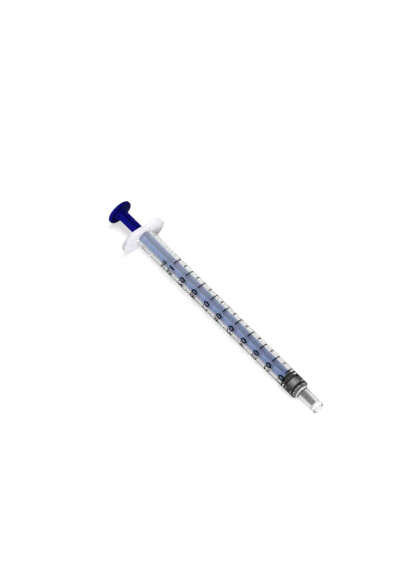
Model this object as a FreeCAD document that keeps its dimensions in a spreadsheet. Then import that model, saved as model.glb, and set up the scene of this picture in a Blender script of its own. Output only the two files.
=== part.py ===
"""Oral syringe, 1 mL: a barrel with its finger flange and nozzle, a plunger rod with its thumb disc,
a rubber stopper on the rod's head, and the scale printed on the barrel.

The syringe lies along X with the nozzle towards +X and the flange's wings along Y. The origin is under
the middle of its length, on the surface that it lies on. The plunger is pushed fully in.
"""

import FreeCAD, Part
import Sketcher
import os

Vector = FreeCAD.Vector
X_AXIS = Vector(1, 0, 0)
NEAR = 1e-4

# name, value in mm (angles in degrees, volume in mL), what it is
SIZES = [
    ("capacity_ml", 1.0, "volume between the zero line and the full line"),
    ("graduations", 10, "numbered steps on the scale"),
    ("bore_diameter", 4.70, "inside of the barrel"),
    ("barrel_wall", 0.85, "thickness of the barrel's wall"),
    ("bore_lead_in", 0.40, "chamfer at the open end of the bore"),
    ("bead_distance", 3.85, "flange's rear face to the retaining bead's middle"),
    ("bead_width", 0.90, "retaining bead, along the bore"),
    ("bead_rise", 0.14, "retaining bead, in from the bore"),
    ("flange_length", 17.0, "finger flange from wing tip to wing tip"),
    ("flange_width", 9.4, "finger flange between its straight edges"),
    ("flange_thickness", 1.6, "finger flange"),
    ("flange_rounding", 0.35, "rounding of the flange's edges"),
    ("flange_fillet", 0.50, "fillet between the flange and the barrel"),
    ("scale_gap", 14.70, "flange's front face to the full line"),
    ("shoulder_land", 0.57, "zero line to the shoulder's edge"),
    ("shoulder_length", 0.62, "cone from the barrel down to the nozzle"),
    ("shoulder_rounding", 0.30, "rounding of the shoulder's edge"),
    ("floor_length", 1.00, "cone from the bore down to the channel"),
    ("nozzle_root_diameter", 4.35, "nozzle where it leaves the shoulder"),
    ("nozzle_end_diameter", 3.95, "nozzle at its tip"),
    ("nozzle_length", 7.83, "shoulder to tip"),
    ("nozzle_rounding", 0.20, "rounding of the nozzle's tip"),
    ("channel_diameter", 1.50, "channel where it leaves the bore"),
    ("channel_end_diameter", 1.30, "channel where it meets the mouth"),
    ("mouth_diameter", 2.70, "recess in the nozzle's tip"),
    ("mouth_depth", 1.90, "recess in the nozzle's tip"),
    ("thumb_gap", 10.0, "thumb disc to flange with the plunger fully in"),
    ("thumb_diameter", 8.9, "thumb disc"),
    ("thumb_thickness", 1.10, "thumb disc"),
    ("thumb_rounding", 0.30, "rounding of the thumb disc's rim"),
    ("thumb_root", 0.70, "cone between the thumb disc and the rod"),
    ("rod_diameter", 3.60, "circle around the rod's four ribs"),
    ("rib_thickness", 1.10, "each rib of the rod"),
    ("rod_turn", 47.0, "angle of one rib from straight up"),
    ("collar_clearance", 0.06, "gap between the collar behind the stopper and the retaining bead"),
    ("collar_thickness", 0.90, "disc behind the stopper"),
    ("neck_diameter", 1.90, "rod between the collar and the head"),
    ("neck_length", 1.25, "rod between the collar and the head"),
    ("head_diameter", 2.70, "head that holds the stopper"),
    ("head_length", 1.60, "head that holds the stopper"),
    ("head_tip_diameter", 1.60, "front of the head"),
    ("head_clearance", 0.05, "gap between the head and the stopper's socket"),
    ("stopper_length", 5.50, "stopper's rear face to its front seal's front edge"),
    ("seal_width", 0.75, "each sealing ring of the stopper"),
    ("seal_pitch", 1.20, "between the two rear sealing rings"),
    ("seal_offset", 0.38, "rear face to the first sealing ring"),
    ("seal_rounding", 0.18, "rounding of the sealing rings"),
    ("seal_clearance", 0.02, "gap between the sealing rings and the bore"),
    ("seal_rise", 0.25, "sealing rings, out from the stopper's waist"),
    ("floor_gap", 0.04, "gap between the stopper's nose and the bore's floor"),
    ("line_width", 0.40, "printed line, along the barrel"),
    ("print_thickness", 0.03, "printed ink"),
    ("line_start", -37.0, "angle from straight up where every line starts"),
    ("long_line_sweep", 63.5, "angle of a numbered line"),
    ("short_line_sweep", 30.3, "angle of a line between two numbered ones"),
]

# Places worked out from the sizes. Those on the barrel count from the flange's rear face, those on the rod
# from the thumb disc's rear face and those on the stopper from its rear face.
PLACES = [
    ("scale_length", "1000 * sizes.capacity_ml / (pi / 4 * sizes.bore_diameter ^ 2)"),
    ("bore_radius", "sizes.bore_diameter / 2"),
    ("barrel_radius", "bore_radius + sizes.barrel_wall"),
    ("full_line", "sizes.flange_thickness + sizes.scale_gap"),
    ("zero_line", "full_line + scale_length"),
    ("bore_floor", "zero_line + sizes.floor_length"),
    ("shoulder_edge", "zero_line + sizes.shoulder_land"),
    ("nozzle_root", "shoulder_edge + sizes.shoulder_length"),
    ("barrel_end", "nozzle_root + sizes.nozzle_length"),
    ("mouth_floor", "barrel_end - sizes.mouth_depth"),
    ("overall_length", "sizes.thumb_thickness + sizes.thumb_gap + barrel_end"),
    ("rod_x", "-overall_length / 2"),
    ("barrel_x", "rod_x + sizes.thumb_thickness + sizes.thumb_gap"),
    ("stopper_x", "barrel_x + zero_line - sizes.floor_gap - sizes.stopper_length"),
    ("scale_x", "barrel_x + zero_line"),
    ("axis_z", "max(sizes.flange_width; sizes.thumb_diameter) / 2"),
    ("collar_radius", "bore_radius - sizes.bead_rise - sizes.collar_clearance"),
    ("rod_front", "stopper_x - rod_x - sizes.head_clearance"),
    ("collar_rear", "rod_front - sizes.collar_thickness"),
    ("neck_end", "rod_front + sizes.neck_length"),
    ("head_end", "neck_end + sizes.head_length"),
    ("seal_radius", "bore_radius - sizes.seal_clearance"),
    ("waist_radius", "seal_radius - sizes.seal_rise"),
    ("second_seal", "sizes.seal_offset + sizes.seal_pitch"),
    ("socket_step", "sizes.neck_length - 2 * sizes.head_clearance"),
    ("socket_end", "sizes.neck_length + sizes.head_length"),
    ("nose_length", "sizes.floor_length - sizes.floor_gap"),
    ("line_pitch", "scale_length / (2 * sizes.graduations)"),
]

doc = FreeCAD.newDocument("oral_syringe")


def fill_sheet(name, rows, as_formula):
    """A spreadsheet with one named value on each row."""
    sheet = doc.addObject("Spreadsheet::Sheet", name)
    for row, (alias, value, *note) in enumerate(rows, 1):
        sheet.set(f"A{row}", f"={value}" if as_formula else str(value))
        sheet.setAlias(f"A{row}", alias)
        sheet.set(f"B{row}", note[0] if note else alias.replace("_", " "))
    doc.recompute()
    return sheet


def new_body(name):
    body = doc.addObject("PartDesign::Body", name)
    body.Label = name
    return body


def put(piece, along, turn=None):
    """Places a piece on the syringe's axis, and may turn it about that axis."""
    piece.setExpression("Placement.Base.x", along)
    piece.setExpression("Placement.Base.z", "places.axis_z")
    if turn:
        piece.Placement.Rotation = FreeCAD.Rotation(X_AXIS, 1)
        piece.setExpression("Placement.Rotation.Angle", turn)


def new_sketch(body, plane_role, name):
    plane = next(item for item in body.Origin.OriginFeatures if item.Role == plane_role)
    sketch = body.newObject("Sketcher::SketchObject", name)
    sketch.AttachmentSupport = [(plane, "")]
    sketch.MapMode = "FlatFace"
    return sketch


def pin_along(sketch, kind, edge, end, formula):
    """Fixes an end or centre along one sketch axis by a formula; 0 puts it on the other axis."""
    if formula == "0":
        other_axis = -2 if kind == "DistanceX" else -1
        sketch.addConstraint(Sketcher.Constraint("PointOnObject", edge, end, other_axis))
    else:
        value = sketch.evalExpression(formula)
        index = sketch.addConstraint(Sketcher.Constraint(kind, -1, 1, edge, end, value))
        sketch.setExpression(f"Constraints[{index}]", formula)


def draw_outline(sketch, corners):
    """A closed outline of straight lines. Each corner is two formulas: along the axis, and out from it."""
    points = [Vector(*(sketch.evalExpression(formula) for formula in corner), 0) for corner in corners]
    after = points[1:] + points[:1]
    for start, end in zip(points, after):
        sketch.addGeometry(Part.LineSegment(start, end), False)
    for edge in range(len(points)):
        following = (edge + 1) % len(points)
        sketch.addConstraint(Sketcher.Constraint("Coincident", edge, 2, following, 1))
    for edge, (along, out) in enumerate(corners):
        pin_along(sketch, "DistanceX", edge, 1, along)
        pin_along(sketch, "DistanceY", edge, 1, out)


def draw_strip(sketch, half_length, half_width, arc_centre):
    """Two straight edges joined by an arc at each end, whose centre is arc_centre out from the middle."""
    reach = sketch.evalExpression(half_length)
    half = sketch.evalExpression(half_width)
    centre = sketch.evalExpression(arc_centre)
    bulge = centre + ((reach - centre) ** 2 + half**2) ** 0.5
    for side in (1, -1):
        start = Vector(-side * reach, side * half, 0)
        end = Vector(side * reach, side * half, 0)
        sketch.addGeometry(Part.LineSegment(start, end), False)
        after = Vector(side * reach, -side * half, 0)
        sketch.addGeometry(Part.Arc(end, Vector(side * bulge, 0, 0), after), False)
    top, right, bottom, left = 0, 1, 2, 3
    for edge, edge_end, arc in ((top, 2, right), (bottom, 2, left), (top, 1, left), (bottom, 1, right)):
        sketch.addConstraint(Sketcher.Constraint("Coincident", edge, edge_end, arc, edge_end))
    for edge, edge_end, sign in ((top, 1, "-"), (top, 2, ""), (bottom, 1, ""), (bottom, 2, "-")):
        pin_along(sketch, "DistanceX", edge, edge_end, f"{sign}({half_length})")
        pin_along(sketch, "DistanceY", edge, edge_end, f"{'-' if edge == bottom else ''}({half_width})")
    for arc, sign in ((right, ""), (left, "-")):
        formula = arc_centre if arc_centre == "0" else f"{sign}({arc_centre})"
        pin_along(sketch, "DistanceX", arc, 3, formula)


def turned(body, kind, name, corners):
    """A Revolution or a Groove about the syringe's axis."""
    sketch = new_sketch(body, "XY_Plane", f"{name}_outline")
    draw_outline(sketch, corners)
    feature = body.newObject(f"PartDesign::{kind}", name)
    feature.Profile = sketch
    feature.ReferenceAxis = (sketch, ["H_Axis"])
    feature.Angle = 360
    doc.recompute()
    return feature


def extruded(body, name, sketch, length):
    feature = body.newObject("PartDesign::Pad", name)
    feature.Profile = sketch
    feature.setExpression("Length", length)
    doc.recompute()
    return feature


def rounded(body, name, base, radius, wanted):
    """A fillet on the edges of base that wanted accepts."""
    edges = [f"Edge{number}" for number, edge in enumerate(base.Shape.Edges, 1) if wanted(edge)]
    if not edges:
        raise RuntimeError(f"{name} finds no edge")
    feature = body.newObject("PartDesign::Fillet", name)
    feature.Base = (base, edges)
    feature.setExpression("Radius", radius)
    doc.recompute()
    return feature


def value_of(formula):
    return sizes.evalExpression(formula)


def is_ring(edge, radius, along=None):
    """True for a full circle about the axis with this radius, at this place along it."""
    if not isinstance(edge.Curve, Part.Circle) or len(edge.Vertexes) != 1:
        return False
    centre = edge.Curve.Center
    on_axis = abs(centre.y) < NEAR and abs(centre.z) < NEAR
    placed = along is None or abs(centre.x - along) < NEAR
    return on_axis and placed and abs(edge.Curve.Radius - radius) < NEAR


def lies_across(edge, along):
    """True if the whole edge is in the plane across the axis at this place."""
    box = edge.BoundBox
    return abs(box.XMin - along) < NEAR and abs(box.XMax - along) < NEAR


def make_barrel():
    body = new_body("barrel")
    turned(
        body,
        "Revolution",
        "barrel_tube",
        [
            ("0", "0"),
            ("0", "places.barrel_radius"),
            ("places.shoulder_edge", "places.barrel_radius"),
            ("places.nozzle_root", "sizes.nozzle_root_diameter / 2"),
            ("places.barrel_end", "sizes.nozzle_end_diameter / 2"),
            ("places.barrel_end", "0"),
        ],
    )
    stadium = new_sketch(body, "YZ_Plane", "flange_outline")
    half_straight = "(sizes.flange_length - sizes.flange_width) / 2"
    draw_strip(stadium, half_straight, "sizes.flange_width / 2", half_straight)
    flange = extruded(body, "finger_flange", stadium, "sizes.flange_thickness")

    barrel_radius = value_of("places.barrel_radius")
    thickness = value_of("sizes.flange_thickness")

    def is_flange_rim(edge):
        across = lies_across(edge, 0) or lies_across(edge, thickness)
        return across and not is_ring(edge, barrel_radius)

    rim = rounded(body, "flange_rim", flange, "sizes.flange_rounding", is_flange_rim)
    root = rounded(
        body, "flange_root", rim, "sizes.flange_fillet", lambda edge: is_ring(edge, barrel_radius, thickness)
    )
    shoulder = rounded(
        body,
        "shoulder_edge",
        root,
        "sizes.shoulder_rounding",
        lambda edge: is_ring(edge, barrel_radius, value_of("places.shoulder_edge")),
    )
    end_radius = value_of("sizes.nozzle_end_diameter / 2")
    rounded(
        body,
        "nozzle_edge",
        shoulder,
        "sizes.nozzle_rounding",
        lambda edge: is_ring(edge, end_radius, value_of("places.barrel_end")),
    )
    half_bead = "sizes.bead_width / 2"
    turned(
        body,
        "Groove",
        "bore_and_channel",
        [
            ("0", "0"),
            ("0", "places.bore_radius + sizes.bore_lead_in"),
            ("sizes.bore_lead_in", "places.bore_radius"),
            (f"sizes.bead_distance - {half_bead}", "places.bore_radius"),
            ("sizes.bead_distance", "places.bore_radius - sizes.bead_rise"),
            (f"sizes.bead_distance + {half_bead}", "places.bore_radius"),
            ("places.zero_line", "places.bore_radius"),
            ("places.bore_floor", "sizes.channel_diameter / 2"),
            ("places.mouth_floor", "sizes.channel_end_diameter / 2"),
            ("places.mouth_floor", "sizes.mouth_diameter / 2"),
            ("places.barrel_end", "sizes.mouth_diameter / 2"),
            ("places.barrel_end", "0"),
        ],
    )
    put(body, "places.barrel_x")
    return body


def make_plunger_rod():
    body = new_body("plunger_rod")
    turned(
        body,
        "Revolution",
        "thumb_disc",
        [
            ("0", "0"),
            ("0", "sizes.thumb_diameter / 2"),
            ("sizes.thumb_thickness", "sizes.thumb_diameter / 2"),
            ("sizes.thumb_thickness", "sizes.rod_diameter / 2 + sizes.thumb_root"),
            ("sizes.thumb_thickness + sizes.thumb_root", "sizes.rod_diameter / 2"),
            ("sizes.thumb_thickness + sizes.thumb_root", "0"),
        ],
    )
    thumb_radius = value_of("sizes.thumb_diameter / 2")
    rounded(
        body, "thumb_rim", body.Tip, "sizes.thumb_rounding", lambda edge: is_ring(edge, thumb_radius)
    )
    section = new_sketch(body, "YZ_Plane", "rib_section")
    half_rib = "sizes.rib_thickness / 2"
    rib_reach = "sqrt((sizes.rod_diameter / 2) ^ 2 - (sizes.rib_thickness / 2) ^ 2)"
    draw_strip(section, rib_reach, half_rib, "0")
    rib = extruded(body, "rib_pair", section, "places.rod_front")
    cross = body.newObject("PartDesign::PolarPattern", "crossed_ribs")
    cross.Originals = [rib]
    cross.Axis = (section, ["N_Axis"])
    cross.Angle = 90
    cross.Occurrences = 2
    body.Tip = cross
    doc.recompute()
    turned(
        body,
        "Revolution",
        "collar_and_head",
        [
            ("places.collar_rear", "0"),
            ("places.collar_rear", "places.collar_radius"),
            ("places.rod_front", "places.collar_radius"),
            ("places.rod_front", "sizes.neck_diameter / 2"),
            ("places.neck_end", "sizes.neck_diameter / 2"),
            ("places.neck_end", "sizes.head_diameter / 2"),
            ("places.neck_end + sizes.head_length / 2", "sizes.head_diameter / 2"),
            ("places.head_end", "sizes.head_tip_diameter / 2"),
            ("places.head_end", "0"),
        ],
    )
    put(body, "places.rod_x", "sizes.rod_turn")
    return body


def make_stopper():
    body = new_body("stopper")
    waist = "places.waist_radius"
    seal = "places.seal_radius"
    front_seal = "sizes.stopper_length - sizes.seal_width"
    turned(
        body,
        "Revolution",
        "stopper_body",
        [
            ("0", "0"),
            ("0", waist),
            ("sizes.seal_offset", waist),
            ("sizes.seal_offset", seal),
            ("sizes.seal_offset + sizes.seal_width", seal),
            ("sizes.seal_offset + sizes.seal_width", waist),
            ("places.second_seal", waist),
            ("places.second_seal", seal),
            ("places.second_seal + sizes.seal_width", seal),
            ("places.second_seal + sizes.seal_width", waist),
            (front_seal, waist),
            (front_seal, seal),
            ("sizes.stopper_length", seal),
            ("sizes.stopper_length + places.nose_length", "sizes.channel_diameter / 2"),
            ("sizes.stopper_length + places.nose_length", "0"),
        ],
    )
    seal_radius = value_of("places.seal_radius")
    rounded(
        body, "seal_edges", body.Tip, "sizes.seal_rounding", lambda edge: is_ring(edge, seal_radius)
    )
    gap = "sizes.head_clearance"
    turned(
        body,
        "Groove",
        "head_socket",
        [
            ("0", "0"),
            ("0", f"sizes.neck_diameter / 2 + {gap}"),
            ("places.socket_step", f"sizes.neck_diameter / 2 + {gap}"),
            ("places.socket_step", f"sizes.head_diameter / 2 + {gap}"),
            (f"places.socket_step + sizes.head_length / 2 + {gap}", f"sizes.head_diameter / 2 + {gap}"),
            ("places.socket_end", f"sizes.head_tip_diameter / 2 + {gap}"),
            ("places.socket_end", "0"),
        ],
    )
    put(body, "places.stopper_x")
    return body


def make_scale_lines():
    """Printed lines on the barrel, a long one at each numbered step and a short one between two."""
    steps = 2 * int(value_of("sizes.graduations"))
    swing = FreeCAD.Rotation(Vector(1, 0, 1), 180)
    sectors = []
    for step in range(steps + 1):
        sector = doc.addObject("Part::Cylinder", f"line_{step:02d}")
        sector.setExpression("Radius", "places.barrel_radius + sizes.print_thickness")
        sector.setExpression("Height", "sizes.line_width")
        sweep = "sizes.short_line_sweep" if step % 2 else "sizes.long_line_sweep"
        sector.setExpression("Angle", sweep)
        sector.Placement.Rotation = swing
        sector.setExpression("Placement.Base.x", f"-{step} * places.line_pitch - sizes.line_width / 2")
        sectors.append(sector)
    lines = doc.addObject("Part::Compound", "line_sectors")
    lines.Links = sectors
    core = doc.addObject("Part::Cylinder", "barrel_surface")
    core.setExpression("Radius", "places.barrel_radius")
    core.setExpression("Height", "places.scale_length + 2 * sizes.line_width")
    core.Placement.Rotation = swing
    core.setExpression("Placement.Base.x", "-places.scale_length - sizes.line_width")
    scale_lines = doc.addObject("Part::Cut", "scale_lines")
    scale_lines.Base = lines
    scale_lines.Tool = core
    scale_lines.Label = "scale_lines"
    put(scale_lines, "places.scale_x", "sizes.line_start")
    return scale_lines


sizes = fill_sheet("sizes", SIZES, False)
places = fill_sheet("places", PLACES, True)
pieces = [make_barrel(), make_plunger_rod(), make_stopper(), make_scale_lines()]
doc.recompute()

for item in doc.Objects:
    if {"Invalid", "Error"} & set(item.State):
        raise RuntimeError(f"{item.Name} failed: {item.State}")
for piece in pieces:
    if piece.Shape.isNull() or not piece.Shape.isValid():
        raise RuntimeError(f"{piece.Label} has no valid shape")

os.makedirs("parts", exist_ok=True)
for piece in pieces:
    piece.Shape.exportStep(f"parts/{piece.Label}.step")
    box = piece.Shape.BoundBox
    print(
        f"{piece.Label}: {len(piece.Shape.Solids)} solids, {piece.Shape.Volume:.2f} mm3, "
        f"x {box.XMin:.3f} to {box.XMax:.3f}, y {box.YMin:.3f} to {box.YMax:.3f}, "
        f"z {box.ZMin:.3f} to {box.ZMax:.3f}"
    )
for alias, _ in PLACES:
    print(f"{alias} = {value_of('places.' + alias):.3f}")
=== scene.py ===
"""Oral syringe, 1 mL: a clear barrel, a navy plunger, a black rubber stopper and a printed scale.

Lengths are in metres, as millimetres times MM. The syringe's axis runs along +X, towards the nozzle.
"""

import math

import bmesh
import bpy
from mathutils import Matrix, Vector


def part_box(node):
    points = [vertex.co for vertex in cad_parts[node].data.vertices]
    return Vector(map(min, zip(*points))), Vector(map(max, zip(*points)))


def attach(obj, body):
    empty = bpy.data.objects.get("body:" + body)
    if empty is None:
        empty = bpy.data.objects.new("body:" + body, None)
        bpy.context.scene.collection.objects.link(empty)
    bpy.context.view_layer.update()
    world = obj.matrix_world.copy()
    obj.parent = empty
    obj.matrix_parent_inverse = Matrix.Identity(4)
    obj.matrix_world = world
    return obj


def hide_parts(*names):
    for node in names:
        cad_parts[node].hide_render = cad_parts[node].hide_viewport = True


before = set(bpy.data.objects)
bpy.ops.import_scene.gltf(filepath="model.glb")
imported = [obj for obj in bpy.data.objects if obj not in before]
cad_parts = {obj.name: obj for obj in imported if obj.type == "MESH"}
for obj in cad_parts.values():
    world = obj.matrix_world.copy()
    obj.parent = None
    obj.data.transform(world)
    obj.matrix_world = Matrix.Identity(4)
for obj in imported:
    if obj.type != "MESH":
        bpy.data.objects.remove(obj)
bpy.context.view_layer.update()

MM = 0.001

# Barrel
BARREL_RADIUS = 3.2 * MM
BORE_RADIUS = 2.35 * MM
LEAD_IN = 0.4 * MM
BEAD_DISTANCE = 3.85 * MM
BEAD_WIDTH = 0.9 * MM
BEAD_RISE = 0.14 * MM
FLANGE_THICKNESS = 1.6 * MM
FLANGE_ROUNDING = 0.35 * MM
FLANGE_FILLET = 0.5 * MM
SHOULDER_LAND = 0.57 * MM
SHOULDER_LENGTH = 0.62 * MM
FLOOR_LENGTH = 1.0 * MM
NOZZLE_ROOT_RADIUS = 2.175 * MM
NOZZLE_END_RADIUS = 1.975 * MM
CHANNEL_RADIUS = 0.75 * MM
CHANNEL_END_RADIUS = 0.65 * MM
MOUTH_RADIUS = 1.35 * MM
MOUTH_DEPTH = 1.9 * MM

# Plunger
THUMB_THICKNESS = 1.1 * MM
THUMB_ROUNDING = 0.32 * MM
THUMB_DISH = 0.12 * MM
THUMB_ROOT = 0.7 * MM
ROD_RADIUS = 1.8 * MM
HALF_RIB = 0.55 * MM
ROD_TURN = math.radians(47)
COLLAR_RADIUS = 2.15 * MM
COLLAR_THICKNESS = 0.9 * MM
NECK_RADIUS = 0.95 * MM
NECK_LENGTH = 1.25 * MM
HEAD_RADIUS = 1.35 * MM
HEAD_TIP_RADIUS = 0.8 * MM

# Stopper
STOPPER_LENGTH = 5.5 * MM
SEAL_WIDTH = 0.75 * MM
SEAL_OFFSET = 0.38 * MM
SEAL_PITCH = 1.2 * MM
SEAL_PRESS = 0.02 * MM
WAIST_RADIUS = 2.08 * MM
HEAD_GAP = 0.05 * MM

# Print
GRADUATIONS = 10
LINE_WIDTH = 0.4 * MM
INK_THICKNESS = 0.03 * MM
LINE_START = math.radians(-37)
LONG_LINE = math.radians(63.5)
SHORT_LINE = math.radians(30.3)
NUMBER_START = math.radians(45.7)
NUMBER_HEIGHT = 2.3 * MM
UNIT_START = math.radians(50)
UNIT_HEIGHT = 1.75 * MM
UNIT_OFFSET = -2.4 * MM
FULL_NUMBER_SHIFT = 0.45 * MM
SLICE_WIDTH = 0.12 * MM

# Widening of the strokes of the numbers and the unit, as a share of the type size
INK_SPREAD = 0.032

# Places read from the frame
barrel_low, barrel_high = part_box("barrel")
rod_low, rod_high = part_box("plunger_rod")
stopper_low, stopper_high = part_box("stopper")
lines_low, lines_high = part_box("scale_lines")
AXIS_HEIGHT = (barrel_low.z + barrel_high.z) / 2
FLANGE_REAR = barrel_low.x
FLANGE_FRONT = FLANGE_REAR + FLANGE_THICKNESS
FLANGE_HALF_WIDTH = (barrel_high.z - barrel_low.z) / 2
FLANGE_HALF_STRAIGHT = (barrel_high.y - barrel_low.y) / 2 - FLANGE_HALF_WIDTH
NOZZLE_TIP = barrel_high.x
ZERO_LINE = lines_high.x - LINE_WIDTH / 2
FULL_LINE = lines_low.x + LINE_WIDTH / 2
SCALE_LENGTH = ZERO_LINE - FULL_LINE
THUMB_REAR = rod_low.x
THUMB_RADIUS = (rod_high.z - rod_low.z) / 2
HEAD_END = rod_high.x
STOPPER_REAR = stopper_low.x
STOPPER_NOSE = stopper_high.x

SIDES = 160

# Paler colour painted on the navy plastic where it is seen through the barrel: painted light, standing in
# for the light that the barrel's hazy wall adds over it
PAINTED_LIGHT_THROUGH_WALL = (0.17, 0.24, 0.47)

CLEAR_TINT = (0.98, 0.98, 0.99)


# ---------------------------------------------------------------- outlines and turned shapes


def rounded_corners(corners, closed=False, steps=5):
    """Points along straight lines whose corners are rounded by arcs. A corner is (u, v, radius)."""
    count = len(corners)
    points = []
    for index, (u, v, radius) in enumerate(corners):
        corner = Vector((u, v))
        is_end = not closed and index in (0, count - 1)
        if radius == 0 or is_end:
            points.append(corner)
            continue
        before = Vector(corners[index - 1][:2]) - corner
        after = Vector(corners[(index + 1) % count][:2]) - corner
        half_angle = before.angle(after) / 2
        reach = min(radius / math.tan(half_angle), 0.49 * before.length, 0.49 * after.length)
        true_radius = reach * math.tan(half_angle)
        start = corner + before.normalized() * reach
        end = corner + after.normalized() * reach
        middle_way = (before.normalized() + after.normalized()).normalized()
        centre = corner + middle_way * (true_radius / math.sin(half_angle))
        for step in range(steps + 1):
            share = step / steps
            spoke = (start - centre).lerp(end - centre, share)
            points.append(centre + spoke.normalized() * true_radius)
    return points


def with_supports(points, reach=0.25 * MM):
    """Adds a point just inside each end of every long stretch, so that light runs evenly along it."""
    supported = points[:1]
    for start, end in zip(points, points[1:]):
        length = (end - start).length
        if length > 4 * reach:
            supported += [start.lerp(end, reach / length), end.lerp(start, reach / length)]
        supported.append(end)
    return supported


def circle_ring(x, radius, sides=SIDES):
    """Points round the syringe's axis at one place along it."""
    turns = [math.tau * side / sides for side in range(sides)]
    return [Vector((x, radius * math.cos(t), AXIS_HEIGHT + radius * math.sin(t))) for t in turns]


def stadium_ring(x, inset):
    """Points round the flange's outline, drawn in by inset, each straight out from the axis."""
    points = []
    for side in range(SIDES):
        turn = math.tau * side / SIDES
        across, up = math.cos(turn), math.sin(turn)
        on_straight = abs(across) * FLANGE_HALF_WIDTH <= FLANGE_HALF_STRAIGHT * abs(up)
        if on_straight:
            reach = FLANGE_HALF_WIDTH / abs(up)
            outward = Vector((0, 0, math.copysign(1, up)))
        else:
            offset = FLANGE_HALF_STRAIGHT * abs(across)
            reach = offset + math.sqrt(FLANGE_HALF_WIDTH**2 - (FLANGE_HALF_STRAIGHT * up) ** 2)
            centre = Vector((0, math.copysign(FLANGE_HALF_STRAIGHT, across), 0))
            outward = (Vector((0, reach * across, reach * up)) - centre).normalized()
        edge = Vector((x, reach * across, AXIS_HEIGHT + reach * up))
        points.append(edge - outward * inset)
    return points


def join_rings(bm, rings, loop):
    """Quads between each ring and the next, and from the last to the first where loop is set."""
    rows = [[bm.verts.new(point) for point in ring] for ring in rings]
    followers = rows[1:] + (rows[:1] if loop else [])
    for row, following in zip(rows, followers):
        for side in range(len(row)):
            after = (side + 1) % len(row)
            bm.faces.new((row[side], row[after], following[after], following[side]))
    if not loop:
        bm.faces.new(rows[0])
        bm.faces.new(rows[-1])
    return rows


def mesh_object(name, bm, sharp_degrees=None, keep_facing=False):
    """A smooth-shaded object from a mesh. Its faces are turned outwards, unless keep_facing is set."""
    if not keep_facing:
        bmesh.ops.recalc_face_normals(bm, faces=bm.faces)
    mesh = bpy.data.meshes.new(name)
    bm.to_mesh(mesh)
    bm.free()
    mesh.shade_smooth()
    if sharp_degrees:
        mesh.set_sharp_from_angle(angle=math.radians(sharp_degrees))
    piece = bpy.data.objects.new(name, mesh)
    bpy.context.scene.collection.objects.link(piece)
    return piece


def turned_piece(name, corners, sides=96, sharp_degrees=35):
    """A solid of revolution about the syringe's axis. Corners are (x, radius, rounding), end to end."""
    bm = bmesh.new()
    rings = [circle_ring(x, radius, sides) for x, radius in rounded_corners(corners)]
    join_rings(bm, rings, loop=False)
    return mesh_object(name, bm, sharp_degrees)


def united(piece, *others):
    """Joins solids that overlap into one closed mesh, and removes the others."""
    for other in others:
        modifier = piece.modifiers.new("union", "BOOLEAN")
        modifier.operation = "UNION"
        modifier.solver = "EXACT"
        modifier.object = other
    apply_modifiers(piece)
    for other in others:
        bpy.data.objects.remove(other)
    return piece


def apply_modifiers(piece):
    """Makes what the modifiers give the piece's own plain mesh."""
    graph = bpy.context.evaluated_depsgraph_get()
    mesh = bpy.data.meshes.new_from_object(piece.evaluated_get(graph))
    mesh.name = piece.name
    piece.modifiers.clear()
    piece.data = mesh


# ---------------------------------------------------------------- materials


def new_material(name):
    """A material with an empty node tree, apart from its output."""
    material = bpy.data.materials.new(name)
    material.use_nodes = True
    tree = material.node_tree
    tree.nodes.clear()
    tree.nodes.new("ShaderNodeOutputMaterial")
    return material, tree


def add_node(tree, kind, **values):
    """A node with its inputs set by name. Underscores in a name stand for spaces."""
    node = tree.nodes.new(kind)
    for name, value in values.items():
        node.inputs[name.replace("_", " ")].default_value = value
    return node


def noise(tree, scale, detail=3.0, stretch=(1, 1, 1)):
    """Noise fixed to the piece, stretched along its axes."""
    place = tree.nodes.new("ShaderNodeTexCoord")
    mapping = add_node(tree, "ShaderNodeMapping", Scale=stretch)
    texture = add_node(tree, "ShaderNodeTexNoise", Scale=scale, Detail=detail)
    tree.links.new(place.outputs["Object"], mapping.inputs["Vector"])
    tree.links.new(mapping.outputs["Vector"], texture.inputs["Vector"])
    return texture.outputs["Fac"]


def spread(tree, source, low, high):
    """Maps a 0 to 1 value to low to high."""
    node = add_node(tree, "ShaderNodeMapRange", To_Min=low, To_Max=high)
    tree.links.new(source, node.inputs["Value"])
    return node.outputs["Result"]


def blended(tree, factor, first, second):
    """A colour between two by a 0 to 1 value."""
    node = tree.nodes.new("ShaderNodeMix")
    node.data_type = "RGBA"
    node.inputs["A"].default_value = (*first, 1)
    node.inputs["B"].default_value = (*second, 1)
    tree.links.new(factor, node.inputs["Factor"])
    return node.outputs["Result"]


def bump(tree, source, distance, strength):
    """A normal raised by a 0 to 1 value."""
    node = add_node(tree, "ShaderNodeBump", Strength=strength, Distance=distance)
    tree.links.new(source, node.inputs["Height"])
    return node.outputs["Normal"]


def surface(tree, shader):
    """Joins a shader to the material's output."""
    tree.links.new(shader.outputs[0], tree.nodes["Material Output"].inputs["Surface"])


def navy_plastic():
    """Moulded polyethylene: satin, with faint flow marks along the rod. It is painted paler where seen
    through the barrel, as painted light for the barrel's haze.
    """
    material, tree = new_material("navy_plastic")
    flow = noise(tree, 900, stretch=(0.15, 1, 1))
    grain = noise(tree, 5200, detail=2)
    shader = add_node(tree, "ShaderNodeBsdfPrincipled", IOR=1.3, Specular_IOR_Level=0.2)
    navy = blended(tree, flow, (0.003, 0.003, 0.200), (0.006, 0.006, 0.250))
    # Painted light: rays that come through the barrel see a paler navy, for the light that the barrel's
    # haze adds.
    path = tree.nodes.new("ShaderNodeLightPath")
    tint = blended(tree, path.outputs["Is Transmission Ray"], (0, 0, 0), PAINTED_LIGHT_THROUGH_WALL)
    tree.links.new(navy, tint.node.inputs["A"])
    tree.links.new(tint, shader.inputs["Base Color"])
    tree.links.new(spread(tree, flow, 0.45, 0.60), shader.inputs["Roughness"])
    tree.links.new(bump(tree, grain, 0.02 * MM, 0.25), shader.inputs["Normal"])
    surface(tree, shader)
    return material


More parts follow.
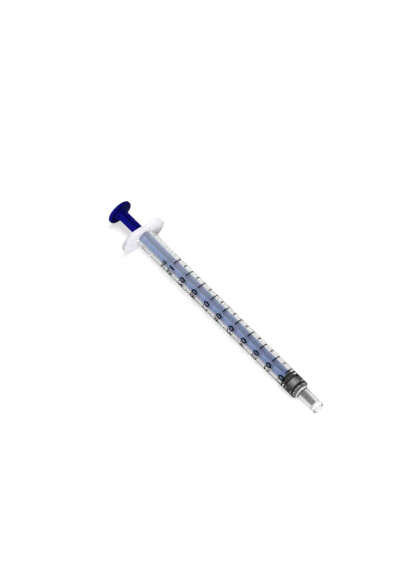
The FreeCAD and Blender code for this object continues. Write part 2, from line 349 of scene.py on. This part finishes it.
def rubber(name, shine, rough):
    """Black rubber with a fine skin. Silicone oil makes it shine between the sealing rings."""
    material, tree = new_material(name)
    grain = noise(tree, 4200, detail=4)
    shader = add_node(tree, "ShaderNodeBsdfPrincipled", IOR=1.5, Specular_IOR_Level=shine)
    black = blended(tree, grain, (0.001, 0.001, 0.001), (0.003, 0.003, 0.003))
    tree.links.new(black, shader.inputs["Base Color"])
    tree.links.new(spread(tree, grain, *rough), shader.inputs["Roughness"])
    tree.links.new(bump(tree, grain, 0.015 * MM, 0.3), shader.inputs["Normal"])
    surface(tree, shader)
    return material


def black_ink():
    """Pad-printed ink: near black with a cool cast, thinner in places."""
    material, tree = new_material("black_ink")
    blotch = noise(tree, 3000, detail=2)
    shader = add_node(tree, "ShaderNodeBsdfPrincipled", IOR=1.45, Specular_IOR_Level=0.1)
    cool_black = blended(tree, blotch, (0.002, 0.004, 0.006), (0.006, 0.010, 0.014))
    tree.links.new(cool_black, shader.inputs["Base Color"])
    tree.links.new(spread(tree, blotch, 0.35, 0.55), shader.inputs["Roughness"])
    surface(tree, shader)
    return material


def clear_plastic(name, haze, haze_colour, rough, lamp_tint=0.96):
    """Polypropylene that lets light through. Haze is the share of light that its surface scatters.

    Haze is either one number or two: at the flange and at the other end of the scale. The lamps' light
    passes straight through, dimmed by lamp_tint.
    """
    material, tree = new_material(name)
    flow = noise(tree, 700, stretch=(0.2, 1, 1))
    clear = add_node(
        tree,
        "ShaderNodeBsdfPrincipled",
        Base_Color=(*CLEAR_TINT, 1),
        IOR=1.49,
        Transmission_Weight=1,
    )
    tree.links.new(spread(tree, flow, *rough), clear.inputs["Roughness"])
    tree.links.new(bump(tree, flow, 0.001 * MM, 0.05), clear.inputs["Normal"])
    cloud = add_node(
        tree,
        "ShaderNodeBsdfPrincipled",
        Base_Color=(*haze_colour, 1),
        Roughness=0.6,
        Specular_IOR_Level=0.1,
    )
    cloudy = tree.nodes.new("ShaderNodeMixShader")
    if isinstance(haze, tuple):
        place = tree.nodes.new("ShaderNodeTexCoord")
        parts = tree.nodes.new("ShaderNodeSeparateXYZ")
        fade = add_node(
            tree,
            "ShaderNodeMapRange",
            From_Min=FLANGE_FRONT,
            From_Max=ZERO_LINE,
            To_Min=haze[0],
            To_Max=haze[1],
        )
        tree.links.new(place.outputs["Object"], parts.inputs[0])
        tree.links.new(parts.outputs["X"], fade.inputs["Value"])
        tree.links.new(fade.outputs["Result"], cloudy.inputs[0])
    else:
        cloudy.inputs[0].default_value = haze
    tree.links.new(clear.outputs[0], cloudy.inputs[1])
    tree.links.new(cloud.outputs[0], cloudy.inputs[2])
    lamp_way = add_node(tree, "ShaderNodeBsdfTransparent", Color=(*[lamp_tint] * 3, 1))
    path = tree.nodes.new("ShaderNodeLightPath")
    mixer = tree.nodes.new("ShaderNodeMixShader")
    tree.links.new(path.outputs["Is Shadow Ray"], mixer.inputs[0])
    tree.links.new(cloudy.outputs[0], mixer.inputs[1])
    tree.links.new(lamp_way.outputs[0], mixer.inputs[2])
    surface(tree, mixer)
    return material


# ---------------------------------------------------------------- pieces


def make_barrel():
    """Tube, finger flange, shoulder and nozzle in one closed shell, with the bore and the channel."""
    shoulder_edge = ZERO_LINE + SHOULDER_LAND
    nozzle_root = shoulder_edge + SHOULDER_LENGTH
    bore_floor = ZERO_LINE + FLOOR_LENGTH
    mouth_floor = NOZZLE_TIP - MOUTH_DEPTH
    bead = FLANGE_REAR + BEAD_DISTANCE
    support = 0.08 * MM
    outside = rounded_corners(
        [
            (FLANGE_FRONT, BARREL_RADIUS + FLANGE_FILLET + support, 0),
            (FLANGE_FRONT, BARREL_RADIUS, FLANGE_FILLET),
            (shoulder_edge, BARREL_RADIUS, 0.45 * MM),
            (nozzle_root, NOZZLE_ROOT_RADIUS, 0.35 * MM),
            (NOZZLE_TIP, NOZZLE_END_RADIUS, 0.2 * MM),
            (NOZZLE_TIP, MOUTH_RADIUS, 0.12 * MM),
            (mouth_floor, MOUTH_RADIUS, 0.2 * MM),
            (mouth_floor, CHANNEL_END_RADIUS, 0.1 * MM),
            (bore_floor, CHANNEL_RADIUS, 0.2 * MM),
            (ZERO_LINE, BORE_RADIUS, 0.2 * MM),
            (bead + BEAD_WIDTH / 2, BORE_RADIUS, 0.3 * MM),
            (bead, BORE_RADIUS - BEAD_RISE, 0.3 * MM),
            (bead - BEAD_WIDTH / 2, BORE_RADIUS, 0.3 * MM),
            (FLANGE_REAR + LEAD_IN, BORE_RADIUS, 0.2 * MM),
            (FLANGE_REAR, BORE_RADIUS + LEAD_IN, 0.1 * MM),
            (FLANGE_REAR, BORE_RADIUS + LEAD_IN + 2 * support, 0),
        ]
    )
    rim = rounded_corners(
        [
            (FLANGE_REAR, FLANGE_ROUNDING + support, 0),
            (FLANGE_REAR, 0, FLANGE_ROUNDING),
            (FLANGE_FRONT, 0, FLANGE_ROUNDING),
            (FLANGE_FRONT, FLANGE_ROUNDING + support, 0),
        ]
    )
    rings = [circle_ring(x, radius) for x, radius in with_supports(outside)]
    rings += [stadium_ring(x, inset) for x, inset in rim]
    bm = bmesh.new()
    join_rings(bm, rings, loop=True)
    barrel = mesh_object("barrel_shell", bm)
    slots = [
        clear_plastic("clear_wall", 0.01, (0.9, 0.9, 0.9), (0.01, 0.03), lamp_tint=0.95),
        clear_plastic("hazy_bore", (0.16, 0.02), (0.85, 0.9, 0.93), (0.02, 0.05), lamp_tint=0.95),
        clear_plastic("milky_flange", 0.75, (0.92, 0.91, 0.95), (0.28, 0.42), lamp_tint=0.5),
        # Painted reflection: the channel's wall is dark grey, standing in for the dark surroundings that
        # it reflects.
        clear_plastic("channel_painted_dark", 0.6, (0.1, 0.1, 0.1), (0.1, 0.2)),
        # White haze inside the nozzle's end. On a band round the nozzle's root, the same material is a
        # painted highlight on the fillet.
        clear_plastic("white_end_and_root_highlight", 0.5, (0.9, 0.9, 0.9), (0.1, 0.2)),
        # Painted shade: the steep shoulder between the tube and the nozzle is dark grey.
        clear_plastic("shoulder_painted_shade", 0.6, (0.12, 0.12, 0.12), (0.1, 0.2)),
    ]
    for material in slots:
        barrel.data.materials.append(material)
    wall, bore, flange, channel, white_end_and_highlight, shoulder = range(6)
    for face in barrel.data.polygons:
        centre = face.center
        out = math.hypot(centre.y, centre.z - AXIS_HEIGHT)
        if centre.x < FLANGE_FRONT + support and out > BORE_RADIUS + LEAD_IN:
            face.material_index = flange
        elif centre.x < ZERO_LINE and out < BORE_RADIUS + 0.5 * LEAD_IN:
            face.material_index = bore
        elif bore_floor < centre.x < mouth_floor - support and out < CHANNEL_RADIUS + support:
            face.material_index = channel
        elif centre.x > ZERO_LINE and out < MOUTH_RADIUS + support:
            face.material_index = white_end_and_highlight
        # Painted shade: the shoulder gets the dark grey material.
        elif shoulder_edge - support < centre.x < nozzle_root - 2 * support:
            face.material_index = shoulder
        # Painted highlight: a white band round the nozzle's root, on its fillet.
        elif nozzle_root - 2 * support <= centre.x < nozzle_root + 4 * support:
            face.material_index = white_end_and_highlight
        else:
            face.material_index = wall
    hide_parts("barrel")
    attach(barrel, "barrel")
    return barrel


def make_plunger():
    """Thumb disc, four-ribbed rod, collar and the head inside the stopper."""
    disc_front = THUMB_REAR + THUMB_THICKNESS
    dish_radius = THUMB_RADIUS - 1.0 * MM
    disc = turned_piece(
        "thumb_disc",
        [
            (THUMB_REAR + THUMB_DISH, 0.05 * MM, 0),
            (THUMB_REAR + THUMB_DISH, dish_radius, 0.6 * MM),
            (THUMB_REAR, dish_radius + 0.5 * MM, 0.3 * MM),
            (THUMB_REAR, THUMB_RADIUS, THUMB_ROUNDING),
            (disc_front, THUMB_RADIUS, THUMB_ROUNDING),
            (disc_front, ROD_RADIUS + THUMB_ROOT, 0.3 * MM),
            (disc_front + THUMB_ROOT, ROD_RADIUS - 0.25 * MM, 0.1 * MM),
            (disc_front + THUMB_ROOT, 0.05 * MM, 0),
        ],
    )
    collar_front = STOPPER_REAR - HEAD_GAP
    neck_end = collar_front + NECK_LENGTH
    head_middle = (neck_end + HEAD_END) / 2
    collar = turned_piece(
        "collar_and_head",
        [
            (collar_front - COLLAR_THICKNESS, 0.05 * MM, 0),
            (collar_front - COLLAR_THICKNESS, COLLAR_RADIUS, 0.12 * MM),
            (collar_front, COLLAR_RADIUS, 0.12 * MM),
            (collar_front, NECK_RADIUS, 0.1 * MM),
            (neck_end, NECK_RADIUS, 0.1 * MM),
            (neck_end, HEAD_RADIUS, 0.12 * MM),
            (head_middle, HEAD_RADIUS, 0.2 * MM),
            (HEAD_END, HEAD_TIP_RADIUS, 0.2 * MM),
            (HEAD_END, 0.05 * MM, 0),
        ],
    )
    rod = make_ribs(THUMB_REAR + THUMB_THICKNESS / 2, collar_front - COLLAR_THICKNESS / 2)
    plunger = united(rod, disc, collar)
    plunger.data.shade_smooth()
    plunger.data.set_sharp_from_angle(angle=math.radians(35))
    plunger.data.materials.clear()
    plunger.data.materials.append(navy_plastic())
    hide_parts("plunger_rod")
    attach(plunger, "plunger")
    return plunger


def make_ribs(start, end):
    """The rod's cross of four ribs, with filleted roots and rounded tips."""
    reach = math.sqrt(ROD_RADIUS**2 - HALF_RIB**2) + 0.06 * MM
    quarter = [
        (HALF_RIB, HALF_RIB, 0.28 * MM),
        (HALF_RIB, reach, 0.16 * MM),
        (-HALF_RIB, reach, 0.16 * MM),
    ]
    corners = []
    for turn in range(4):
        turned = Matrix.Rotation(turn * math.pi / 2, 2)
        corners += [(*(turned @ Vector((u, v))), radius) for u, v, radius in quarter]
    outline = rounded_corners(corners, closed=True, steps=6)
    swing = Matrix.Rotation(ROD_TURN, 2)
    section = [swing @ point for point in outline]
    steps = 24
    bm = bmesh.new()
    rings = []
    for step in range(steps + 1):
        x = start + (end - start) * step / steps
        rings.append([Vector((x, point.x, AXIS_HEIGHT + point.y)) for point in section])
    join_rings(bm, rings, loop=False)
    return mesh_object("plunger_shaft", bm)


def make_stopper():
    """Three sealing rings and a conical nose. The rings press a little way into the bore's wall."""
    seal = BORE_RADIUS + SEAL_PRESS
    belly = BORE_RADIUS + 0.2 * SEAL_PRESS
    front = STOPPER_REAR + STOPPER_LENGTH
    socket = NECK_RADIUS + HEAD_GAP
    step = STOPPER_REAR + NECK_LENGTH - 2 * HEAD_GAP
    cavity = HEAD_RADIUS + HEAD_GAP
    cavity_end = HEAD_END + HEAD_GAP
    seal_round = 0.1 * MM
    groove = 0.14 * MM
    first = STOPPER_REAR + SEAL_OFFSET
    second = first + SEAL_PITCH
    third = front - SEAL_WIDTH
    corners = [
        (STOPPER_REAR, WAIST_RADIUS, 0.15 * MM),
        (first, WAIST_RADIUS, seal_round),
        (first, seal, seal_round),
        (first + SEAL_WIDTH, seal, seal_round),
        (first + SEAL_WIDTH, WAIST_RADIUS, seal_round),
        (second, WAIST_RADIUS, seal_round),
        (second, seal, seal_round),
        (second + SEAL_WIDTH, seal, 0.05 * MM),
        (second + SEAL_WIDTH, WAIST_RADIUS, 0.05 * MM),
        (second + SEAL_WIDTH + groove, WAIST_RADIUS, 0.05 * MM),
        (second + SEAL_WIDTH + groove, belly, 0.05 * MM),
        (third - groove, belly, 0.05 * MM),
        (third - groove, WAIST_RADIUS, 0.05 * MM),
        (third, WAIST_RADIUS, 0.05 * MM),
        (third, seal, 0.05 * MM),
        (front, seal, 0.05 * MM),
        (STOPPER_NOSE, CHANNEL_RADIUS, 0.15 * MM),
        (STOPPER_NOSE, 0.05 * MM, 0.02 * MM),
        (cavity_end, 0.05 * MM, 0.02 * MM),
        (cavity_end, HEAD_TIP_RADIUS + HEAD_GAP, 0.1 * MM),
        ((step + cavity_end) / 2, cavity, 0.1 * MM),
        (step, cavity, 0.1 * MM),
        (step, socket, 0.1 * MM),
        (STOPPER_REAR, socket, 0.1 * MM),
    ]
    outline = rounded_corners(corners, closed=True)
    bm = bmesh.new()
    join_rings(bm, [circle_ring(x, radius, 120) for x, radius in outline], loop=True)
    stopper = mesh_object("rubber_stopper", bm)
    stopper.data.materials.append(rubber("black_rubber", 0.0, (0.5, 0.7)))
    stopper.data.materials.append(rubber("oiled_rubber", 0.5, (0.3, 0.45)))
    for face in stopper.data.polygons:
        out = math.hypot(face.center.y, face.center.z - AXIS_HEIGHT)
        on_belly = second + SEAL_WIDTH < face.center.x < third and out > WAIST_RADIUS
        face.material_index = 1 if on_belly else 0
    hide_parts("stopper")
    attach(stopper, "stopper")
    return stopper


# ---------------------------------------------------------------- print


def line_tree(ink):
    """Geometry nodes: one printed line bent round the barrel, repeated along it at an even pitch."""
    tree = bpy.data.node_groups.new("printed_lines", "GeometryNodeTree")
    sizes = [
        ("Radius", BARREL_RADIUS),
        ("Start", LINE_START),
        ("Sweep", LONG_LINE),
        ("Width", LINE_WIDTH),
        ("Thickness", INK_THICKNESS),
        ("Pitch", SCALE_LENGTH / GRADUATIONS),
        ("First", FULL_LINE),
        ("Height", AXIS_HEIGHT),
    ]
    for name, value in sizes:
        socket = tree.interface.new_socket(name, in_out="INPUT", socket_type="NodeSocketFloat")
        socket.default_value = value
    count = tree.interface.new_socket("Count", in_out="INPUT", socket_type="NodeSocketInt")
    count.default_value = GRADUATIONS + 1
    tree.interface.new_socket("Geometry", in_out="OUTPUT", socket_type="NodeSocketGeometry")
    given = tree.nodes.new("NodeGroupInput")
    result = tree.nodes.new("NodeGroupOutput")

    arc = tree.nodes.new("GeometryNodeCurveArc")
    arc.inputs["Resolution"].default_value = 24
    section = tree.nodes.new("GeometryNodeCurvePrimitiveQuadrilateral")
    bar = tree.nodes.new("GeometryNodeCurveToMesh")
    bar.inputs["Fill Caps"].default_value = True
    upright = tree.nodes.new("GeometryNodeTransform")
    # The arc starts at its own X axis: turned so that X points up and Z along the barrel.
    upright.inputs["Rotation"].default_value = (math.pi, -math.pi / 2, 0)
    row = tree.nodes.new("GeometryNodeMeshLine")
    first = tree.nodes.new("ShaderNodeCombineXYZ")
    offset = tree.nodes.new("ShaderNodeCombineXYZ")
    repeat = tree.nodes.new("GeometryNodeInstanceOnPoints")
    realize = tree.nodes.new("GeometryNodeRealizeInstances")
    coat = tree.nodes.new("GeometryNodeSetMaterial")
    coat.inputs["Material"].default_value = ink

    links = [
        (given.outputs["Radius"], arc.inputs["Radius"]),
        (given.outputs["Start"], arc.inputs["Start Angle"]),
        (given.outputs["Sweep"], arc.inputs["Sweep Angle"]),
        (given.outputs["Thickness"], section.inputs["Width"]),
        (given.outputs["Width"], section.inputs["Height"]),
        (arc.outputs["Curve"], bar.inputs["Curve"]),
        (section.outputs["Curve"], bar.inputs["Profile Curve"]),
        (bar.outputs["Mesh"], upright.inputs["Geometry"]),
        (given.outputs["First"], first.inputs["X"]),
        (given.outputs["Height"], first.inputs["Z"]),
        (given.outputs["Pitch"], offset.inputs["X"]),
        (given.outputs["Count"], row.inputs["Count"]),
        (first.outputs["Vector"], row.inputs["Start Location"]),
        (offset.outputs["Vector"], row.inputs["Offset"]),
        (row.outputs["Mesh"], repeat.inputs["Points"]),
        (upright.outputs["Geometry"], repeat.inputs["Instance"]),
        (repeat.outputs["Instances"], realize.inputs["Geometry"]),
        (realize.outputs["Geometry"], coat.inputs["Geometry"]),
        (coat.outputs["Geometry"], result.inputs["Geometry"]),
    ]
    for source, target in links:
        tree.links.new(source, target)
    return tree


def make_lines(name, tree, **inputs):
    """One row of printed lines as a plain mesh. Inputs are the tree's own, by name."""
    piece = bpy.data.objects.new(name, bpy.data.meshes.new(name))
    bpy.context.scene.collection.objects.link(piece)
    modifier = piece.modifiers.new("printed_lines", "NODES")
    modifier.node_group = tree
    for socket in tree.interface.items_tree:
        if socket.in_out == "INPUT" and socket.name in inputs:
            modifier[socket.identifier] = inputs[socket.name]
    apply_modifiers(piece)
    return piece


def printed_text(name, words, height, start, along, ink):
    """Words wrapped round the barrel, from an angle off the top, and centred at along."""
    curve = bpy.data.curves.new(name, "FONT")
    curve.body = words
    curve.offset = INK_SPREAD
    text = bpy.data.objects.new(name, curve)
    bpy.context.scene.collection.objects.link(text)
    graph = bpy.context.evaluated_depsgraph_get()
    mesh = bpy.data.meshes.new_from_object(text.evaluated_get(graph))
    bpy.data.objects.remove(text)
    bm = bmesh.new()
    bm.from_mesh(mesh)
    bmesh.ops.remove_doubles(bm, verts=bm.verts, dist=1e-5)
    left = min(vert.co.x for vert in bm.verts)
    bottom = min(vert.co.y for vert in bm.verts)
    top = max(vert.co.y for vert in bm.verts)
    scale = height / (top - bottom)
    middle = (top + bottom) / 2
    width = max(vert.co.x for vert in bm.verts) - left
    slices = math.ceil(width * scale / SLICE_WIDTH)
    for cut in range(1, slices):
        plane = (left + width * cut / slices, 0, 0)
        geometry = bm.verts[:] + bm.edges[:] + bm.faces[:]
        bmesh.ops.bisect_plane(bm, geom=geometry, plane_co=plane, plane_no=(1, 0, 0), dist=1e-6)
    bm.normal_update()
    bmesh.ops.reverse_faces(bm, faces=[face for face in bm.faces if face.normal.z < 0])
    raised = bmesh.ops.extrude_face_region(bm, geom=list(bm.faces))
    top_verts = {item for item in raised["geom"] if isinstance(item, bmesh.types.BMVert)}
    for vert in bm.verts:
        angle = start + (vert.co.x - left) * scale / BARREL_RADIUS
        side = 1 if vert in top_verts else -1
        radius = BARREL_RADIUS + side * INK_THICKNESS / 2
        x = along + (vert.co.y - middle) * scale
        vert.co = Vector((x, -radius * math.sin(angle), AXIS_HEIGHT + radius * math.cos(angle)))
    piece = mesh_object(name, bm, sharp_degrees=40, keep_facing=True)
    piece.data.materials.append(ink)
    return piece


def make_print():
    """Long lines at each tenth, short ones between, numbers beside the long lines, and the unit."""
    ink = black_ink()
    tree = line_tree(ink)
    pitch = SCALE_LENGTH / GRADUATIONS
    long_lines = make_lines("long_lines", tree)
    between = {"Sweep": SHORT_LINE, "Count": GRADUATIONS, "First": FULL_LINE + pitch / 2}
    short_lines = make_lines("short_lines", tree, **between)
    printed = [long_lines, short_lines]
    for step in range(GRADUATIONS):
        tenths = GRADUATIONS - step
        words = f"{tenths / GRADUATIONS:.1f}"
        along = FULL_LINE + step * pitch + (FULL_NUMBER_SHIFT if step == 0 else 0)
        name = f"number_{tenths:02d}"
        printed.append(printed_text(name, words, NUMBER_HEIGHT, NUMBER_START, along, ink))
    unit_place = FULL_LINE + UNIT_OFFSET
    printed.append(printed_text("unit_mL", "mL", UNIT_HEIGHT, UNIT_START, unit_place, ink))
    for piece in printed:
        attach(piece, "barrel")
    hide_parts("scale_lines")
    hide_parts("scale_lines")


# ---------------------------------------------------------------- table, light and camera

CAMERA_AZIMUTH = math.radians(33.5)
CAMERA_ELEVATION = math.radians(51.8)
CAMERA_DISTANCE = 0.83
CAMERA_LENS = 165.1
AXIS_ON_SCREEN = math.radians(-44.6)
AIM_RIGHT = -5.3 * MM
AIM_UP = 6.78 * MM
TABLE_HALF_SIZE = 3.0
TABLE_GLOW = 0.6
TABLE_GLOW_THROUGH_CLEAR = 0.3
ROOM_LIGHT = 0.12
ROOM_LIGHT_ON_MATT = 0.13
ROOM_LIGHT_SEEN = 0.75
LAMP_DISTANCE = 0.9


def outward(azimuth, elevation):
    """Direction from the syringe to a place round it. Azimuth 0 is in front, at -Y."""
    level = math.cos(elevation)
    return Vector((math.sin(azimuth) * level, -math.cos(azimuth) * level, math.sin(elevation)))


def make_camera():
    """A long lens that looks down on the syringe from the nozzle's side."""
    back = outward(CAMERA_AZIMUTH, CAMERA_ELEVATION)
    axis = Vector((1, 0, 0))
    along = (axis - back * axis.dot(back)).normalized()
    across = back.cross(along)
    right = along * math.cos(AXIS_ON_SCREEN) - across * math.sin(AXIS_ON_SCREEN)
    up = back.cross(right)
    target = Vector((0, 0, AXIS_HEIGHT)) + right * AIM_RIGHT + up * AIM_UP
    data = bpy.data.cameras.new("camera")
    data.lens = CAMERA_LENS
    camera = bpy.data.objects.new("camera", data)
    bpy.context.scene.collection.objects.link(camera)
    turn = Matrix((right, up, back)).transposed()
    camera.matrix_world = Matrix.Translation(target + back * CAMERA_DISTANCE) @ turn.to_4x4()
    bpy.context.scene.camera = camera


def seen_ray(tree):
    """1 for a ray seen straight or through something clear, and 0 for any other."""
    path = tree.nodes.new("ShaderNodeLightPath")
    seen = tree.nodes.new("ShaderNodeMath")
    seen.operation = "MAXIMUM"
    tree.links.new(path.outputs["Is Camera Ray"], seen.inputs[0])
    tree.links.new(path.outputs["Is Transmission Ray"], seen.inputs[1])
    return seen.outputs[0]


def make_table():
    """A pale table that the flange's lower edge and the barrel's shoulder both touch.

    It glows by different amounts where it is seen straight and where it is seen through clear plastic.
    """
    shoulder = Vector((ZERO_LINE + SHOULDER_LAND, 0, AXIS_HEIGHT - BARREL_RADIUS))
    edge = Vector((FLANGE_FRONT - FLANGE_ROUNDING, 0, AXIS_HEIGHT - FLANGE_HALF_WIDTH))
    slope = (shoulder.z - edge.z) / (shoulder.x - edge.x)
    half = TABLE_HALF_SIZE
    bm = bmesh.new()
    corners = []
    for x, y in ((-half, -half), (half, -half), (half, half), (-half, half)):
        corners.append(bm.verts.new((x, y, edge.z + (x - edge.x) * slope)))
    bm.faces.new(corners)
    table = mesh_object("table", bm)
    if table.data.polygons[0].normal.z < 0:
        table.data.flip_normals()
    material, tree = new_material("pale_table")
    paper = add_node(tree, "ShaderNodeBsdfDiffuse", Color=(0.9, 0.9, 0.9, 1))
    glow = add_node(tree, "ShaderNodeEmission", Color=(1, 1, 1, 1))
    both = tree.nodes.new("ShaderNodeAddShader")
    path = tree.nodes.new("ShaderNodeLightPath")
    level = spread(tree, path.outputs["Is Camera Ray"], 0.0, TABLE_GLOW)
    through = add_node(tree, "ShaderNodeMath")
    through.operation = "MULTIPLY_ADD"
    through.inputs[1].default_value = TABLE_GLOW_THROUGH_CLEAR
    tree.links.new(path.outputs["Is Transmission Ray"], through.inputs[0])
    tree.links.new(level, through.inputs[2])
    tree.links.new(through.outputs[0], glow.inputs["Strength"])
    colour = blended(tree, seen_ray(tree), (0.2, 0.2, 0.2), (0.45, 0.44, 0.43))
    tree.links.new(colour, paper.inputs["Color"])
    tree.links.new(paper.outputs[0], both.inputs[0])
    tree.links.new(glow.outputs[0], both.inputs[1])
    surface(tree, both)
    table.data.materials.append(material)
    return table


def make_lamp(name, piece, azimuth, elevation, size, power, glossy=False):
    """A square lamp that faces the syringe and lights one piece only.

    It's seen in shiny surfaces only where glossy is set.
    """
    data = bpy.data.lights.new(name, "AREA")
    data.size = size
    data.energy = power
    lamp = bpy.data.objects.new(name, data)
    lamp.visible_glossy = glossy
    lamp.visible_transmission = False
    bpy.context.scene.collection.objects.link(lamp)
    back = outward(math.radians(azimuth), math.radians(elevation))
    lamp.location = Vector((0, 0, AXIS_HEIGHT)) + back * LAMP_DISTANCE
    lamp.rotation_euler = back.to_track_quat("Z", "Y").to_euler()
    reach = bpy.data.collections.new(name + "_reach")
    reach.objects.link(piece)
    lamp.light_linking.receiver_collection = reach


def make_light(barrel, plunger, stopper, table):
    """A pale room, two lamps each for the barrel and the plunger, one for the stopper, one for the table.

    The print has no lamp of its own. The room's brightness differs for light that falls on matt
    surfaces and for what is seen.
    """
    world = bpy.data.worlds.new("room")
    world.use_nodes = True
    tree = world.node_tree
    tree.nodes.clear()
    output = tree.nodes.new("ShaderNodeOutputWorld")
    background = add_node(tree, "ShaderNodeBackground", Color=(1, 1, 1, 1))
    path = tree.nodes.new("ShaderNodeLightPath")
    strength = add_node(tree, "ShaderNodeMath")
    strength.operation = "MULTIPLY_ADD"
    strength.inputs[1].default_value = ROOM_LIGHT_ON_MATT
    tree.links.new(path.outputs["Is Diffuse Ray"], strength.inputs[0])
    seen = spread(tree, seen_ray(tree), ROOM_LIGHT, ROOM_LIGHT_SEEN)
    tree.links.new(seen, strength.inputs[2])
    tree.links.new(strength.outputs[0], background.inputs["Strength"])
    tree.links.new(background.outputs[0], output.inputs["Surface"])
    bpy.context.scene.world = world
    make_lamp("key_lamp", barrel, 205, 58, 0.4, 7.0)
    make_lamp("fill_lamp", barrel, 60, 12, 0.4, 8.0)
    make_lamp("front_lamp", plunger, 355, 10, 0.3, 5.0)
    make_lamp("top_lamp", plunger, 350, 70, 0.5, 2.0)
    make_lamp("soft_box", stopper, 300, 70, 1.3, 135.0, glossy=True)
    make_lamp("table_lamp", table, 250, 82, 0.6, 9.0)
    bpy.context.scene.view_settings.view_transform = "Standard"


barrel = make_barrel()
plunger = make_plunger()
stopper = make_stopper()
make_print()
make_light(barrel, plunger, stopper, make_table())
make_camera()

bpy.context.view_layer.update()
